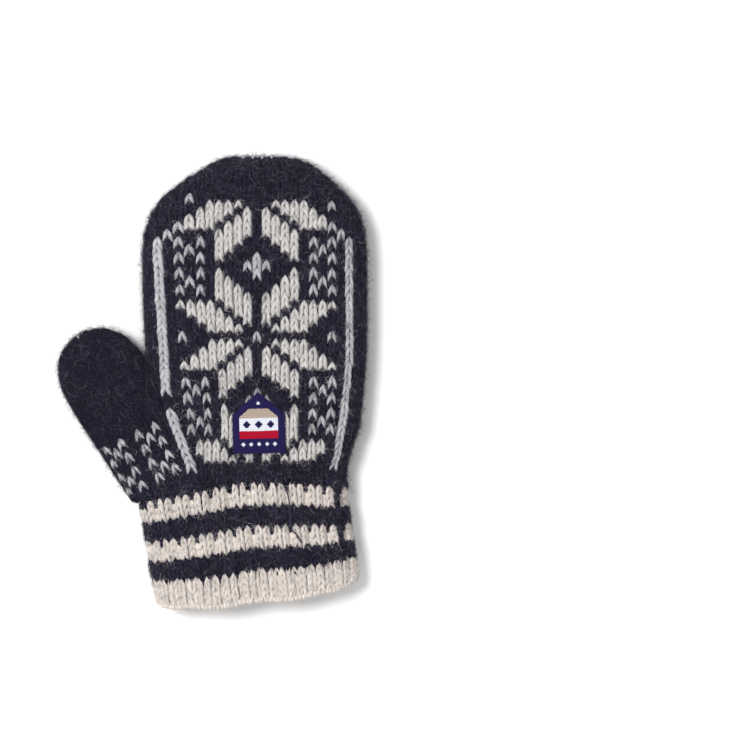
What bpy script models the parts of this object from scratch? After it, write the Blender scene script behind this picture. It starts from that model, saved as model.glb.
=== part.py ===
"""A stranded-knit mitten for the right hand, lying palm down, in metres.

+X runs across the hand away from the thumb, +Y to the fingertips and +Z up from the
surface that it lies on. The origin is on that surface, under the middle of the palm.
"""

import math

import bmesh
import bpy
from mathutils import Vector

# The bag of the hand, from the wrist seam to the edge of the fingertips.
HAND_LENGTH = 0.1412
HAND_WIDTH = 0.094
HAND_HEIGHT = 0.020
HAND_WALL = 0.0028
HAND_TIP_ROUND = 0.015

# The wrist seam, where the ribbed cuff carries on from the hand.
WRIST_WIDTH = 0.088
WRIST_HEIGHT = 0.0175
WRIST_DROP = 0.0660
WRIST_SHIFT = 0.0048

# The cuff is turned a little against the hand, as it lies.
CUFF_LENGTH = 0.0450
CUFF_HEIGHT = 0.0185
CUFF_WALL = 0.0028
CUFF_TURN = math.radians(6.5)
RIB_COUNT = 24
RIB_DEPTH = 0.0009
HEM_CORNER = 0.0045
HEM_WAVE = 0.0006

# The thumb with its gusset grows out of the side of the hand.
THUMB_LENGTH = 0.080
THUMB_WIDTH = 0.0370
THUMB_HEIGHT = 0.0168
THUMB_WALL = 0.0030
THUMB_TIP_ROUND = 0.025
THUMB_TURN = math.radians(33.0)
THUMB_ROOT_SIDE = 0.0310
THUMB_ROOT_BELOW_SEAM = 0.0012
THUMB_LIFT = 0.0016

# The woven label on the back of the hand, a house shape with its ridge to the fingertips.
LABEL_WIDTH = 0.0218
LABEL_SHOULDER = 0.0164
LABEL_RIDGE = 0.0092
LABEL_THICKNESS = 0.0008
LABEL_TURN = math.radians(-1.5)
LABEL_SIDE = 0.0024
LABEL_ABOVE_SEAM = 0.0164

# Pieces that touch keep this much air between them.
GAP = 0.0003
# The seam band of the hand that the thumb's hollow leaves whole.
WRIST_BAND = 0.0060
# The cutter for that hollow ends at this share of THUMB_LENGTH, inside the thumb.
HOLLOW_REACH = 0.80

# The side fold runs at this share of the height, and a section is a superellipse.
FOLD_LEVEL = 0.44
FOLD_POWER = 3.0
TIP_POWER = 2.2
# Above 1, the underside is pressed flat over its middle.
PRESSED = 1.12

HAND_POINTS = 44
THUMB_POINTS = 32
RIB_POINTS = 4

# Shares of HAND_LENGTH and of half of HAND_WIDTH. Where wrist is 1 the section is the
# wrist's own, and where lean is 1 it lies along the turned wrist seam.
HAND_COLUMNS = ("along", "left", "right", "wrist", "lean")
HAND_SECTIONS = (
    (0.000, 0.980, 0.880, 1.00, 1.00),
    (0.025, 0.980, 0.880, 1.00, 1.00),
    (0.060, 0.975, 0.880, 0.65, 0.85),
    (0.100, 0.962, 0.892, 0.30, 0.65),
    (0.180, 0.950, 0.945, 0.05, 0.40),
    (0.270, 0.945, 0.962, 0.00, 0.20),
    (0.370, 0.958, 0.985, 0.00, 0.05),
    (0.480, 0.980, 1.000, 0.00, 0.00),
    (0.600, 0.997, 1.000, 0.00, 0.00),
    (0.700, 1.000, 0.998, 0.00, 0.00),
    (0.770, 0.985, 0.985, 0.00, 0.00),
    (0.830, 0.920, 0.930, 0.00, 0.00),
    (0.870, 0.835, 0.855, 0.00, 0.00),
    (0.905, 0.720, 0.750, 0.00, 0.00),
    (0.935, 0.595, 0.650, 0.00, 0.00),
    (0.960, 0.475, 0.555, 0.00, 0.00),
    (0.980, 0.375, 0.470, 0.00, 0.00),
    (0.993, 0.265, 0.360, 0.00, 0.00),
    (1.000, 0.140, 0.220, 0.00, 0.00),
)

# Shares of THUMB_LENGTH from the root, of half of THUMB_WIDTH and of THUMB_LIFT.
THUMB_COLUMNS = ("along", "wide", "lift")
THUMB_SECTIONS = (
    (0.000, 1.000, 1.00),
    (0.150, 1.000, 1.00),
    (0.300, 1.000, 0.90),
    (0.450, 1.000, 0.50),
    (0.580, 1.000, 0.15),
    (0.700, 0.995, 0.00),
    (0.790, 0.985, 0.00),
    (0.860, 1.000, 0.00),
    (0.910, 1.000, 0.00),
    (0.950, 1.000, 0.00),
    (0.980, 1.000, 0.00),
    (0.995, 1.000, 0.00),
)

# Shares of CUFF_LENGTH from the wrist seam, of half of WRIST_WIDTH and of RIB_DEPTH.
CUFF_COLUMNS = ("along", "left", "right", "ribs")
CUFF_SECTIONS = (
    (0.000, 1.000, 1.000, 0.00),
    (0.030, 1.000, 1.000, 0.00),
    (0.090, 0.998, 0.994, 0.80),
    (0.200, 0.990, 0.990, 1.00),
    (0.450, 0.980, 0.994, 1.00),
    (0.700, 0.972, 1.002, 1.00),
    (0.900, 0.962, 1.012, 1.00),
    (1.000, 0.945, 1.000, 0.80),
)


def rows_of(columns, table):
    """Each row of a table as a dictionary with the names of its columns."""
    return [dict(zip(columns, row)) for row in table]


def mix(start, end, share):
    return start + (end - start) * share


def fullness(share, power):
    """Height of a superellipse of radius 1 at a share of its half width."""
    return max(0.0, 1.0 - min(1.0, abs(share)) ** power) ** (1.0 / power)


def tip_fullness(distance, tip_round):
    """How thick a closed end is, at a distance before its edge, as a share of the whole."""
    return fullness(1.0 - distance / tip_round, TIP_POWER) if distance < tip_round else 1.0


def section(left, right, top, under, points):
    """A pressed superellipse as (across, up) pairs, from the right fold over the top."""
    level = under + (top - under) * FOLD_LEVEL
    pairs = []
    for step in range(points):
        angle = math.tau * step / points
        across = math.copysign(abs(math.cos(angle)) ** (2.0 / FOLD_POWER), math.cos(angle))
        rise = abs(math.sin(angle)) ** (2.0 / FOLD_POWER)
        reach = across * (right if across > 0.0 else left)
        if math.sin(angle) >= 0.0:
            pairs.append((reach, level + (top - level) * rise))
        else:
            pairs.append((reach, level - (level - under) * min(1.0, PRESSED * rise)))
    return pairs


def thinned(top, under, share):
    """The top and underside of a section that closes on its fold towards a tip."""
    level = under + (top - under) * FOLD_LEVEL
    return mix(level, top, share), mix(level, under, share)


def evenly_spaced(pairs, count):
    """The closed outline of (across, up) pairs, walked in count equal steps."""
    corners = [Vector(pair) for pair in pairs]
    sides = [(corners[k], corners[(k + 1) % len(corners)]) for k in range(len(corners))]
    lengths = [(end - start).length for start, end in sides]
    step = sum(lengths) / count
    walked = []
    side, passed = 0, 0.0
    for index in range(count):
        while passed + lengths[side] < index * step:
            passed += lengths[side]
            side += 1
        start, end = sides[side]
        walked.append(start.lerp(end, (index * step - passed) / lengths[side]))
    return walked


def loft(name, rings, collection, cap_first=False, cap_last=False):
    """A skin through rings of equally many points, with either end closed if asked."""
    shape = bmesh.new()
    rows = [[shape.verts.new(point) for point in ring] for ring in rings]
    for near, far in zip(rows, rows[1:]):
        for k in range(len(near)):
            shape.faces.new((near[k - 1], near[k], far[k], far[k - 1]))
    if cap_first:
        shape.faces.new(reversed(rows[0]))
    if cap_last:
        shape.faces.new(rows[-1])
    bmesh.ops.remove_doubles(shape, verts=shape.verts, dist=0.00002)
    bmesh.ops.recalc_face_normals(shape, faces=shape.faces)
    mesh = bpy.data.meshes.new(name)
    shape.to_mesh(mesh)
    shape.free()
    mesh.shade_smooth()
    piece = bpy.data.objects.new(name, mesh)
    collection.objects.link(piece)
    return piece


def finish_material(piece, colour, roughness):
    material = bpy.data.materials.new(piece.name + "_finish")
    material.use_nodes = True
    shader = material.node_tree.nodes["Principled BSDF"]
    shader.inputs["Base Color"].default_value = (*colour, 1.0)
    shader.inputs["Roughness"].default_value = roughness
    shader.inputs["Metallic"].default_value = 0.0
    piece.data.materials.append(material)


def add_wall(piece, thickness, offset):
    wall = piece.modifiers.new("Wall", "SOLIDIFY")
    wall.thickness = thickness
    wall.offset = offset
    wall.use_even_offset = True


def cut(piece, cutter):
    boolean = piece.modifiers.new("Cut " + cutter.name, "BOOLEAN")
    boolean.operation = "DIFFERENCE"
    boolean.solver = "EXACT"
    boolean.object = cutter


def mark_cutter(cutter):
    cutter.hide_render = True
    cutter.display_type = "WIRE"


def hand_ring(row, grow=0.0):
    """One section of the hand in place, with its skin moved out by grow."""
    wrist_half = WRIST_WIDTH / 2.0 * math.cos(CUFF_TURN)
    turned_by = math.tan(CUFF_TURN) * HAND_LENGTH * row["along"]
    middle = -row["wrist"] * (WRIST_SHIFT + turned_by)
    left = mix(row["left"] * HAND_WIDTH / 2.0, wrist_half, row["wrist"]) + grow
    right = mix(row["right"] * HAND_WIDTH / 2.0, wrist_half, row["wrist"]) + grow
    height = mix(HAND_HEIGHT, WRIST_HEIGHT, row["wrist"])
    before_tip = HAND_LENGTH * (1.0 - row["along"])
    top, under = thinned(height, 0.0, tip_fullness(before_tip, HAND_TIP_ROUND))
    reach = row["along"] * (HAND_LENGTH + grow) - WRIST_DROP
    slope = row["lean"] * math.tan(CUFF_TURN)
    pairs = section(left, right, top + grow, under - grow, HAND_POINTS)
    return [(middle + across, reach + slope * across, up) for across, up in pairs]


def make_hand(parts):
    rings = [hand_ring(row) for row in rows_of(HAND_COLUMNS, HAND_SECTIONS)]
    hand = loft("hand", rings, parts)
    add_wall(hand, HAND_WALL, -1.0)
    finish_material(hand, (0.017, 0.014, 0.036), 0.95)
    return hand


def make_hand_body(cutters):
    """The hand filled solid and grown by the gap, to trim what meets its outside."""
    rows = rows_of(HAND_COLUMNS, HAND_SECTIONS)
    past_wrist = dict(rows[0], along=-0.05)
    rings = [hand_ring(row, GAP) for row in [past_wrist, *rows]]
    body = loft("hand_body", rings, cutters, cap_first=True, cap_last=True)
    mark_cutter(body)
    return body


def thumb_rings(inset, reach=1.0):
    """The thumb's sections about its own axis, root first, with the skin moved in."""
    rings = []
    for row in rows_of(THUMB_COLUMNS, THUMB_SECTIONS):
        if row["along"] > reach:
            break
        before_tip = THUMB_LENGTH * (1.0 - row["along"])
        tip_share = tip_fullness(before_tip, THUMB_TIP_ROUND)
        half = row["wide"] * THUMB_WIDTH / 2.0 * tip_share - inset
        top, under = thinned(THUMB_HEIGHT, THUMB_LIFT * row["lift"], tip_share)
        from_root = row["along"] * (THUMB_LENGTH - inset)
        pairs = section(half, half, top - inset, under + inset, THUMB_POINTS)
        rings.append([(across, from_root, up) for across, up in pairs])
    return rings


def place_thumb(piece):
    piece.location = (-THUMB_ROOT_SIDE, -WRIST_DROP - THUMB_ROOT_BELOW_SEAM, 0.0)
    piece.rotation_euler.z = THUMB_TURN


def make_thumb(parts):
    thumb = loft("thumb", thumb_rings(0.0), parts, cap_last=True)
    place_thumb(thumb)
    add_wall(thumb, THUMB_WALL, -1.0)
    finish_material(thumb, (0.017, 0.014, 0.036), 0.95)
    return thumb


def make_thumb_hollow(cutters):
    """The room inside the thumb, which opens the side of the hand."""
    rings = thumb_rings(THUMB_WALL, HOLLOW_REACH)
    hollow = loft("thumb_hollow", rings, cutters, cap_first=True, cap_last=True)
    place_thumb(hollow)
    mark_cutter(hollow)
    return hollow


def make_below_wrist(name, above_seam, cutters):
    """A block over all that is nearer the cuff than a line above the wrist seam."""
    size = 2.0 * HAND_WIDTH
    bpy.ops.mesh.primitive_cube_add(size=size)
    block = bpy.context.object
    block.name = name
    for other in list(block.users_collection):
        other.objects.unlink(block)
    cutters.objects.link(block)
    along = Vector((-math.sin(CUFF_TURN), math.cos(CUFF_TURN), 0.0))
    seam = Vector((-WRIST_SHIFT, -WRIST_DROP, 0.0))
    block.location = seam + along * (above_seam - size / 2.0)
    block.rotation_euler.z = CUFF_TURN
    mark_cutter(block)
    return block


def cuff_ring(row):
    """One ribbed section of the cuff about its own axis, from the right fold."""
    height = mix(WRIST_HEIGHT, CUFF_HEIGHT, row["along"])
    left = row["left"] * WRIST_WIDTH / 2.0
    right = row["right"] * WRIST_WIDTH / 2.0
    smooth = section(left, right, height, 0.0, HAND_POINTS * 4)
    walked = evenly_spaced(smooth, RIB_COUNT * RIB_POINTS)
    ring = []
    for k, spot in enumerate(walked):
        ahead = walked[(k + 1) % len(walked)] - walked[k - 1]
        inward = Vector((-ahead.y, ahead.x)).normalized()
        in_groove = k % RIB_POINTS >= RIB_POINTS / 2
        spot = spot + inward * (RIB_DEPTH * row["ribs"] if in_groove else 0.0)
        corner = HEM_CORNER * min(1.0, abs(spot.x) / left) ** 8
        wave = HEM_WAVE * math.cos(math.tau * spot.x / WRIST_WIDTH * 3.0)
        shorter = (corner + wave) * row["along"] ** 2
        ring.append((spot.x, shorter - GAP - row["along"] * (CUFF_LENGTH - GAP), spot.y))
    return ring


def make_cuff(parts):
    rings = [cuff_ring(row) for row in rows_of(CUFF_COLUMNS, CUFF_SECTIONS)]
    cuff = loft("cuff", rings, parts)
    cuff.location = (-WRIST_SHIFT, -WRIST_DROP, 0.0)
    cuff.rotation_euler.z = CUFF_TURN
    add_wall(cuff, CUFF_WALL, -1.0)
    finish_material(cuff, (0.80, 0.76, 0.68), 0.95)
    return cuff


def make_label(parts, hand_body):
    """A flat house shape laid on the back of the hand, then given its thickness."""
    bpy.ops.mesh.primitive_grid_add(x_subdivisions=6, y_subdivisions=5, size=2.0)
    label = bpy.context.object
    label.name = "label"
    for other in list(label.users_collection):
        other.objects.unlink(label)
    parts.objects.link(label)
    for vertex in label.data.vertices:
        side, up = vertex.co.x, (vertex.co.y + 1.0) / 2.0
        ridge = LABEL_SHOULDER + LABEL_RIDGE * (1.0 - abs(side))
        vertex.co = Vector((side * LABEL_WIDTH / 2.0, up * ridge, 0.0))
    label.location = (LABEL_SIDE, LABEL_ABOVE_SEAM - WRIST_DROP, 2.0 * HAND_HEIGHT)
    label.rotation_euler.z = LABEL_TURN
    lay = label.modifiers.new("Lay on back", "SHRINKWRAP")
    lay.wrap_method = "PROJECT"
    lay.use_project_z = True
    lay.use_negative_direction = True
    lay.use_positive_direction = False
    lay.target = hand_body
    add_wall(label, LABEL_THICKNESS, 1.0)
    finish_material(label, (0.021, 0.016, 0.102), 0.6)
    return label


def build():
    for existing in list(bpy.data.objects):
        bpy.data.objects.remove(existing, do_unlink=True)
    parts = bpy.data.collections.new("knitted_mitten")
    cutters = bpy.data.collections.new("cutters")
    bpy.context.scene.collection.children.link(parts)
    bpy.context.scene.collection.children.link(cutters)

    hand_body = make_hand_body(cutters)
    below_seam = make_below_wrist("below_seam", GAP, cutters)
    below_band = make_below_wrist("below_band", WRIST_BAND, cutters)
    thumb_hollow = make_thumb_hollow(cutters)
    cut(thumb_hollow, below_band)

    hand = make_hand(parts)
    cut(hand, thumb_hollow)
    thumb = make_thumb(parts)
    cut(thumb, hand_body)
    cut(thumb, below_seam)
    make_cuff(parts)
    make_label(parts, hand_body)


build()
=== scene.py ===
"""A stranded-knit wool mitten lying palm down, knitted stitch by stitch over its solids.

Metres, +Z up. Every stitch has a column and a row in its chart. The chart is laid on a
skin, which turns lengths along the fabric into places, and the legs of the stitches, the
felted ground behind them and the loose fibres all follow from those places.
"""

import math
from functools import partial

import bmesh
import bpy
import numpy as np
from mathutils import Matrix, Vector, kdtree


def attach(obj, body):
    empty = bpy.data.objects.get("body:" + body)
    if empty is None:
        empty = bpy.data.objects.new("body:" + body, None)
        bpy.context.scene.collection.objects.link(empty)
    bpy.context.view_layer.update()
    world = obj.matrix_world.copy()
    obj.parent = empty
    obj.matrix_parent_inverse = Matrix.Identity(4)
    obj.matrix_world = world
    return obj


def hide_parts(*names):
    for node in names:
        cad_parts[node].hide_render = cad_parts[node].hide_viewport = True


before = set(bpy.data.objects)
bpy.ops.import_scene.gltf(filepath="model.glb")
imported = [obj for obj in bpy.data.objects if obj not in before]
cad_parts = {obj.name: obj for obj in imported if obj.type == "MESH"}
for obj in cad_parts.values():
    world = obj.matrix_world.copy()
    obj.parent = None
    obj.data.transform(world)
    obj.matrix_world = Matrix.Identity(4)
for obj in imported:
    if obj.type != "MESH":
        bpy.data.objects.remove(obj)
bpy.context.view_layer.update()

# The bag of the hand, the wrist, the cuff and the thumb have the sizes of their solids.
HAND_LENGTH = 0.1412
HAND_WIDTH = 0.094
HAND_HEIGHT = 0.020
HAND_TIP_ROUND = 0.015
WRIST_WIDTH = 0.088
WRIST_HEIGHT = 0.0175
WRIST_DROP = 0.0660
WRIST_SHIFT = 0.0048
CUFF_LENGTH = 0.0450
CUFF_HEIGHT = 0.0185
CUFF_WALL = 0.0028
CUFF_TURN = math.radians(6.5)
RIB_COUNT = 24
HEM_CORNER = 0.0045
HEM_WAVE = 0.0006
THUMB_LENGTH = 0.080
THUMB_WIDTH = 0.0370
THUMB_HEIGHT = 0.0168
THUMB_TIP_ROUND = 0.025
THUMB_TURN = math.radians(33.0)
THUMB_ROOT = (-0.0310, -0.0672)
THUMB_LIFT = 0.0016
FOLD_LEVEL = 0.44
FOLD_POWER = 3.0
TIP_POWER = 2.2
PRESSED = 1.12

# Shares of the lengths and half widths above, along each skin.
HAND_SHAPE = {
    "along": (0, .025, .06, .1, .18, .27, .37, .48, .6, .7,
              .77, .83, .87, .905, .935, .96, .98, .993, 1),
    "left": (.98, .98, .975, .962, .95, .945, .958, .98, .997, 1,
             .985, .92, .835, .72, .595, .475, .375, .265, .14),
    "right": (.88, .88, .88, .892, .945, .962, .985, 1, 1, .998,
              .985, .93, .855, .75, .65, .555, .47, .36, .22),
    "wrist": (1, 1, .65, .3, .05) + (0,) * 14,
    "lean": (1, 1, .85, .65, .4, .2, .05) + (0,) * 12,
}
THUMB_SHAPE = {
    "along": (0, .15, .3, .45, .58, .7, .79, .86, 1),
    "wide": (1, 1, 1, 1, 1, .995, .985, 1, 1),
    "lift": (1, 1, .9, .5, .15, 0, 0, 0, 0),
}
CUFF_SHAPE = {
    "along": (0, .03, .09, .2, .45, .7, .9, 1),
    "left": (1, 1, .998, .99, .98, .972, .962, .945),
    "right": (1, 1, .994, .99, .994, 1.002, 1.012, 1),
}

# The knitting: a stitch is one column wide and one row tall.
COLUMN = 0.00395
ROW = 0.00315
MIDDLE_COLUMN = 0.00126
TOP_ROW = 26
WRIST_ROW = -19
PATTERN_TOP = 17
PATTERN_BOTTOM = -16
STAR_ROWS = (-18, 0, 18)
SIDE_COLUMNS = 13
STRIPE_COLUMN = 10
ROW_STRETCH = ((-19, 0.0), (-16, -0.0014), (-13, -0.0012), (-5, 0.0), (3, 0.0), (9, 0.0014),
               (14, 0.0019), (26, 0.0))
STRIPE_END = -17
NAVY, CREAM, ASH, MILK = 0, 1, 2, 3

# Where the side stripes run, as (y, x), from the top down.
LEFT_STRIPE = ((0.0400, -0.0411), (-0.0231, -0.0372), (-0.0302, -0.0354), (-0.0563, -0.0258),
               (-0.075, -0.0195))
RIGHT_STRIPE = ((0.0400, 0.0401), (-0.0081, 0.0404), (-0.0318, 0.0381), (-0.0510, 0.0354), (-0.075, 0.027))

# The crotch of the thumb, and how the fabric spans from the thumb to the hand below it.
CROTCH = -0.0190
SPAN_TIGHT = 0.0015
SPAN_WIDE = 0.0105
SPAN_ABOVE = 0.004
SPAN_LENGTH = 0.016
GUSSET_SIDE = -0.016
GUSSET_SOFT = 0.006

# How far the inner columns lean to the little finger, by y, and which share of it, by column.
LEAN_BY_Y = ((-0.050, -0.036, -0.022, 0.020), (0.0036, 0.0040, 0.0027, 0.0))
LEAN_BY_COLUMN = ((-9.0, -7.0, -4.0, 1.0), (1.1, 1.0, 0.6, 0.0))

# Columns up to the straight ones keep their places. Those outside them are spread evenly up
# to the edge of the stripe, whose own column is wider on the left than on the right.
STRAIGHT_COLUMNS = 6.0
SPREAD_COLUMNS = 3.5
STRIPE_HALF = 0.55
STRIPE_WIDTHS = {-1: 1.25, 1: 0.95}
STRIPE_MIDDLE = 9.95
GUSSET_COLUMN = -10.6

# The sewn patch draws the rows up around this row, over these many columns to each side.
PATCH_PULL = 0.0021
PULL_ROW = -8.5
PULL_ROWS = 3.0
PULL_COLUMNS = 6.5

SEED = 11
random = np.random.default_rng(SEED)


def read_shape(shape, along):
    """The columns of a table of sections, read at shares of the length, one row each."""
    return {name: np.interp(along, shape["along"], values) for name, values in shape.items()}


def mix(start, end, share):
    return start + (end - start) * share


def smooth_step(value):
    value = np.clip(value, 0.0, 1.0)
    return value * value * (3.0 - 2.0 * value)


def turned(x, y, angle):
    cosine, sine = math.cos(angle), math.sin(angle)
    return x * cosine - y * sine, x * sine + y * cosine


def tip_fullness(distance, tip_round):
    """How thick a closed end is, at a distance before its edge, as a share of the whole."""
    share = np.clip(1.0 - distance / tip_round, 0.0, 1.0)
    return (1.0 - share ** TIP_POWER) ** (1.0 / TIP_POWER)


def section(around, left, right, top, under):
    """Across and up of pressed superellipses at angles around them."""
    cosine, sine = np.cos(around), np.sin(around)
    across = np.sign(cosine) * np.abs(cosine) ** (2.0 / FOLD_POWER)
    rise = np.abs(sine) ** (2.0 / FOLD_POWER)
    level = under + (top - under) * FOLD_LEVEL
    lower = level - (level - under) * np.minimum(1.0, PRESSED * rise)
    up = np.where(sine >= 0.0, level + (top - level) * rise, lower)
    return across * np.where(across > 0.0, right, left), up


def thinned(top, under, share):
    level = under + (top - under) * FOLD_LEVEL
    return mix(level, top, share), mix(level, under, share)


def hand_section(along):
    """Middle, half widths, top and underside of the hand at shares of its length."""
    row = read_shape(HAND_SHAPE, along)
    wrist_half = WRIST_WIDTH / 2.0 * math.cos(CUFF_TURN)
    middle = -row["wrist"] * (WRIST_SHIFT + math.tan(CUFF_TURN) * HAND_LENGTH * along)
    left = mix(row["left"] * HAND_WIDTH / 2.0, wrist_half, row["wrist"])
    right = mix(row["right"] * HAND_WIDTH / 2.0, wrist_half, row["wrist"])
    height = mix(HAND_HEIGHT, WRIST_HEIGHT, row["wrist"])
    share = tip_fullness(HAND_LENGTH * (1.0 - along), HAND_TIP_ROUND)
    top, under = thinned(height, 0.0, share)
    return middle, left, right, top, under, row["lean"] * math.tan(CUFF_TURN)


def hand_loops(along, around):
    middle, left, right, top, under, slope = (part[:, None] for part in hand_section(along))
    across, up = section(around[None, :], left, right, top, under)
    reach = along[:, None] * HAND_LENGTH - WRIST_DROP + slope * across
    return np.stack((middle + across, reach, up), axis=2)


def thumb_section(along):
    row = read_shape(THUMB_SHAPE, along)
    share = tip_fullness(THUMB_LENGTH * (1.0 - along), THUMB_TIP_ROUND)
    half = row["wide"] * THUMB_WIDTH / 2.0 * share
    top, under = thinned(THUMB_HEIGHT, THUMB_LIFT * row["lift"], share)
    return half, top, under


def thumb_to_world(across, reach):
    x, y = turned(across, reach, THUMB_TURN)
    return THUMB_ROOT[0] + x, THUMB_ROOT[1] + y


def world_to_thumb(x, y):
    return turned(x - THUMB_ROOT[0], y - THUMB_ROOT[1], -THUMB_TURN)


def thumb_loops(along, around):
    half, top, under = (part[:, None] for part in thumb_section(along))
    across, up = section(around[None, :], half, half, top, under)
    x, y = thumb_to_world(across, along[:, None] * THUMB_LENGTH + 0.0 * across)
    return np.stack((x, y, up), axis=2)


def cuff_to_world(across, reach):
    x, y = turned(across, reach, CUFF_TURN)
    return x - WRIST_SHIFT, y - WRIST_DROP


def world_to_cuff(x, y):
    return turned(x + WRIST_SHIFT, y + WRIST_DROP, -CUFF_TURN)


def cuff_loops(along, around, inset=0.0):
    """Loops of the cuff without its ribs, where negative shares run up onto the hand."""
    row = read_shape(CUFF_SHAPE, along)
    height = mix(WRIST_HEIGHT, CUFF_HEIGHT, np.clip(along, 0.0, 1.0))
    left = row["left"] * WRIST_WIDTH / 2.0
    right = row["right"] * WRIST_WIDTH / 2.0
    left, right, height = left[:, None] - inset, right[:, None] - inset, height[:, None] - inset
    across, up = section(around[None, :], left, right, height, inset)
    corner = HEM_CORNER * np.minimum(1.0, np.abs(across) / left) ** 8
    wave = HEM_WAVE * np.cos(math.tau * across / WRIST_WIDTH * 3.0)
    shorter = (corner + wave) * np.maximum(along, 0.0)[:, None] ** 2
    x, y = cuff_to_world(across, shorter - along[:, None] * CUFF_LENGTH)
    return np.stack((x, y, up), axis=2)


def cuff_inside_loops(along, around):
    return cuff_loops(along, around, CUFF_WALL)


def arch(share):
    return np.clip(1.0 - np.abs(share) ** FOLD_POWER, 0.0, 1.0) ** (1.0 / FOLD_POWER)


def face_height(share, top, under, face):
    """The height of the upper face, or for a face of -1 the lower one, over a half width."""
    level = under + (top - under) * FOLD_LEVEL
    lower = level - (level - under) * np.minimum(1.0, PRESSED * arch(share))
    return np.where(face > 0, level + (top - level) * arch(share), lower)


def hand_height(x, y, face):
    along = np.clip((y + WRIST_DROP) / HAND_LENGTH, 0.0, 1.0)
    for _ in range(2):
        middle, left, right, top, under, slope = hand_section(along)
        along = np.clip((y + WRIST_DROP - slope * (x - middle)) / HAND_LENGTH, 0.0, 1.0)
    middle, left, right, top, under, slope = hand_section(along)
    share = (x - middle) / np.where(x > middle, right, left)
    return face_height(np.clip(share, -1.0, 1.0), top, under, face)


def thumb_height(x, y, face):
    across, reach = world_to_thumb(x, y)
    half, top, under = thumb_section(np.clip(reach / THUMB_LENGTH, 0.0, 1.0))
    share = np.clip(across / np.maximum(half, 1e-5), -1.0, 1.0)
    return face_height(share, top, under, face)


def joined_height(x, y, face):
    """The one fabric over hand and thumb, drawn tight across the gusset below the crotch."""
    hand, thumb = hand_height(x, y, face) * face, thumb_height(x, y, face) * face
    width = mix(SPAN_TIGHT, SPAN_WIDE, smooth_step((CROTCH + SPAN_ABOVE - y) / SPAN_LENGTH))
    share = np.clip(0.5 + 0.5 * (hand - thumb) / width, 0.0, 1.0)
    return np.maximum(0.0, (mix(thumb, hand, share) + width * share * (1.0 - share)) * face)


class Skin:
    """Places and outward directions on a closed shell, looked up by two lengths.

    The first length runs across from the middle of one face and on round the folds, the
    second along the middle of that face. With in_girths the first is a share of the girth.
    At a closed end places are not read past the last few rings, which are too steep.
    """

    STEP = 0.0005
    FINE = 900
    STEEP_RINGS = 3
    AROUND = 241
    ACROSS = 281

    def __init__(self, loops, first, start, face=1, reach=0.070, from_middle=True, in_girths=False):
        turn = np.linspace(-math.pi, math.pi, self.AROUND)
        angles = face * math.pi / 2.0 - turn
        fine = np.linspace(first, 1.0, self.FINE)
        middle_line = loops(fine, np.array([face * math.pi / 2.0]))[:, 0]
        paces = np.linalg.norm(np.diff(middle_line, axis=0), axis=1)
        walked = np.concatenate(([0.0], np.cumsum(paces)))
        self.start = start
        stations = np.arange(0.0, walked[-1], self.STEP)
        rings = loops(np.interp(stations, walked, fine), angles)
        steps = np.linalg.norm(np.diff(rings, axis=1), axis=2)
        arcs = np.concatenate((np.zeros((len(rings), 1)), np.cumsum(steps, axis=1)), axis=1)
        centre = self.AROUND // 2
        girths = arcs[:, -1].copy()
        arcs -= arcs[:, centre:centre + 1]
        if not from_middle:
            arcs += face * rings[:, centre, :1]
        folds = (-math.pi / 2.0, math.pi / 2.0)
        self.folds = np.array([np.interp(folds, turn, arc) for arc in arcs])
        self.reach = 0.5 if in_girths else reach
        wanted = np.linspace(-self.reach, self.reach, self.ACROSS)
        self.places = np.empty((len(rings), self.ACROSS, 3))
        for index, (arc, ring, girth) in enumerate(zip(arcs, rings, girths)):
            at = wanted
            if in_girths:
                arc = np.concatenate((arc - girth, arc, arc + girth))
                ring = np.tile(ring, (3, 1))
                at = wanted * girth
            for axis in range(3):
                self.places[index, :, axis] = np.interp(at, arc, ring[:, axis])
        down = np.gradient(self.places, axis=0)
        side = np.gradient(self.places, axis=1)
        outward = np.cross(side, down)
        size = np.linalg.norm(outward, axis=2, keepdims=True)
        self.outward = outward / np.maximum(size, 1e-12)
        last = self.places[-1] - self.places[-3]
        self.ahead = last / np.maximum(np.linalg.norm(last, axis=1, keepdims=True), 1e-9)
        self.last = len(rings) - 1.001
        if not in_girths:
            self.ahead[:] = (0.0, 0.0, -1.0)
            self.last -= self.STEEP_RINGS
        if self.outward[len(rings) // 2, self.ACROSS // 2, 2] * face < 0.0:
            self.outward *= -1.0

    def find(self, across, along):
        """Places and outward directions at lengths across and along, for arrays of both."""
        column = (np.asarray(across) + self.reach) / (2.0 * self.reach) * (self.ACROSS - 1)
        row = (np.asarray(along) - self.start) / self.STEP
        column = np.clip(column, 0.0, self.ACROSS - 1.001)
        over = np.maximum(row - self.last, 0.0) * self.STEP
        row = np.clip(row, 0.0, self.last)
        i, j = row.astype(int), column.astype(int)
        down, side = (row - i)[..., None], (column - j)[..., None]
        found = []
        for grid in (self.places, self.outward):
            near = mix(grid[i, j], grid[i, j + 1], side)
            far = mix(grid[i + 1, j], grid[i + 1, j + 1], side)
            found.append(mix(near, far, down))
        place, outward = found
        return place + self.ahead[j] * over[..., None], outward

    def fold_limits(self, along):
        """Where the folds lie to both sides, as lengths across."""
        row = ((np.asarray(along) - self.start) / self.STEP).astype(int)
        row = np.clip(row, 0, len(self.folds) - 1)
        return self.folds[row, 0], self.folds[row, 1]

    def length(self):
        return self.start + (len(self.places) - 1) * self.STEP


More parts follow.
